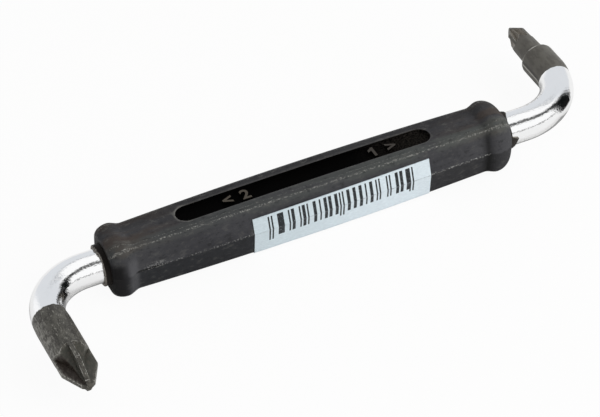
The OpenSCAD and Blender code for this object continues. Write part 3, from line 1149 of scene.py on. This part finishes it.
def floor_shader(g):
    """Pale and matt. The camera sees it nearly white, mirrors see it paler, with a dark opening and a painted
    shadow close below the bar.
    """
    path = g.node("ShaderNodeLightPath").outputs
    x, y, _ = g.axes(g.place())
    mirrored = g.larger(path["Is Glossy Ray"], path["Is Transmission Ray"])
    turn = g.math("DEGREES", g.math("ARCTAN2", g.less(x, BEND_PLACE[0]), g.less(BEND_PLACE[1], y)))
    opening = g.product(mirrored, g.step(x, *FLOOR_OPENING_X), g.window(turn, *FLOOR_OPENING_TURN))
    off_bar = under_object(g, x, y)
    # painted shadow on the floor below the bar, seen only in mirrors
    painted_shadow = g.product(mirrored, g.step(off_bar, *PAINTED_SHADOW_FADE), PAINTED_SHADOW_DEPTH)
    dark = g.larger(opening, painted_shadow)
    lifted = g.product(mirrored, FLOOR_LIFT, g.step(off_bar, *FLOOR_LIFTED))
    share = g.larger(g.product(path["Is Camera Ray"], FLOOR_WHITE), lifted)
    glow = g.mix(dark, WHITE, (0.01, 0.01, 0.01, 1))
    matt = g.node("ShaderNodeBsdfDiffuse", {"Color": FLOOR_COLOUR}).outputs[0]
    shine = g.node("ShaderNodeEmission", {"Color": glow}).outputs[0]
    return g.node("ShaderNodeMixShader", {0: g.larger(share, dark), 1: matt, 2: shine}).outputs[0]


def make_floor():
    """Large floor just under the object."""
    z = cad_box[0].z / MM - FLOOR_GAP
    row = FLOOR_CELLS + 1
    places = np.linspace(-FLOOR_REACH, FLOOR_REACH, row)
    points = [(x, y, z) for y in places for x in places]
    corners = [j * row + i for j in range(FLOOR_CELLS) for i in range(FLOOR_CELLS)]
    floor = add_mesh("floor", points, [(k, k + 1, k + row + 1, k + row) for k in corners])
    dress(floor, "floor", floor_shader)


def wall_behind(g, x, y, high):
    """Pale grey wall behind the object, whiter to the left, with a dark line along its top."""
    back = g.step(y, *WALL_BACK)
    wall = g.product(back, g.step(high, WALL_TOP + 2, WALL_TOP - 1))
    seen = g.mix(wall, WHITE, (0.71, 0.73, 0.76, 1))
    left = g.product(wall, g.step(x, *WALL_LEFT))
    seen = g.mix(left, seen, (0.95, 0.95, 0.96, 1))
    border = g.product(back, g.near(high, WALL_TOP, 1.0, 2.6), 0.9)
    return g.mix(border, seen, (0.25, 0.26, 0.28, 1))


def dark_opening(g, turn, high):
    """Dark opening to the right, with a tail that rises towards the front and widens there."""
    front = g.step(turn, *TAIL_FRONT)
    line = g.scaled(turn, TAIL_FALL, TAIL_TOP)
    band = g.near(high, line, g.lerp(front, 5.5, 8.5), g.lerp(front, 13.0, 17.0))
    depth = g.lerp(g.step(turn, 45.0, 82.0), 0.87, 0.98)
    tail = g.product(band, g.window(turn, *TAIL_TURN), depth)
    opening = g.product(g.window(turn, *OPENING_TURN), g.step(high, *OPENING_TOP))
    return g.larger(tail, opening)


def studio_seen(g):
    """Studio as mirrors show it: white overhead, the wall, the opening and a dark line low in front."""
    x, y, z = g.axes(g.node("ShaderNodeTexCoord").outputs["Generated"])
    high = g.math("DEGREES", g.math("ARCSINE", z))
    turn = g.math("DEGREES", g.math("ARCTAN2", x, g.product(y, -1.0)))
    seen = wall_behind(g, x, y, high)
    seen = g.mix(dark_opening(g, turn, high), seen, (0.005, 0.006, 0.006, 1))
    line = g.product(g.near(high, 2.0, 2.0, 4.0), g.step(y, -0.3, -0.6), 0.85)
    return g.mix(line, seen, (0.12, 0.12, 0.12, 1))


def make_world():
    """White for the camera, soft light for the object, more from the right, and the studio for mirrors."""
    world = bpy.data.worlds.new("studio")
    bpy.context.scene.world = world
    world.use_nodes = True
    g = Graph(world.node_tree)
    path = g.node("ShaderNodeLightPath").outputs
    sideways = g.axes(g.node("ShaderNodeTexCoord").outputs["Generated"])[0]
    level = g.scaled(sideways, SOFT_LEAN, SOFT_LIGHT)
    mirrored, soft, white = (
        g.node("ShaderNodeBackground", {"Color": colour, "Strength": strength}).outputs[0]
        for colour, strength in ((studio_seen(g), 1.0), (WHITE, level), (WHITE, 1.0)))
    lit = g.node("ShaderNodeMixShader", {0: path["Is Glossy Ray"], 1: soft, 2: mirrored}).outputs[0]
    seen = g.node("ShaderNodeMixShader", {0: path["Is Camera Ray"], 1: lit, 2: white}).outputs[0]
    g.node("ShaderNodeOutputWorld", {"Surface": seen})


def add_softbox(name, place, size, power):
    """Soft rectangular lamp that points at the middle and doesn't show in mirrors."""
    data = bpy.data.lights.new(name, "AREA")
    data.shape = "RECTANGLE"
    data.size, data.size_y = size
    data.energy = power
    lamp = add_object(name, data)
    lamp.location = place
    lamp.rotation_mode = "QUATERNION"
    lamp.rotation_quaternion = (-Vector(place)).to_track_quat("-Z", "Y")
    lamp.visible_glossy = False


def main():
    make_camera()
    make_world()
    make_floor()
    add_softbox("softbox_right", **SOFTBOX)
    bar, grip, label = make_bar(), make_grip(), make_label()
    grip.data.materials.clear()
    surface(bar, "steel", steel)
    surface(grip, "moulding", moulding)
    surface(grip, "hollow", hollow)
    surface(label, "paper", paper)
    for face in grip.data.polygons:
        face.material_index = int(in_hollow(face))
    for piece, node, slot in ((bar, "bar", "plated_steel"), (grip, "grip", "black_moulding"),
                              (label, "label", "label_paper")):
        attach(piece, "root")
        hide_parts(node)
    bpy.context.scene.view_settings.view_transform = "Standard"


main()
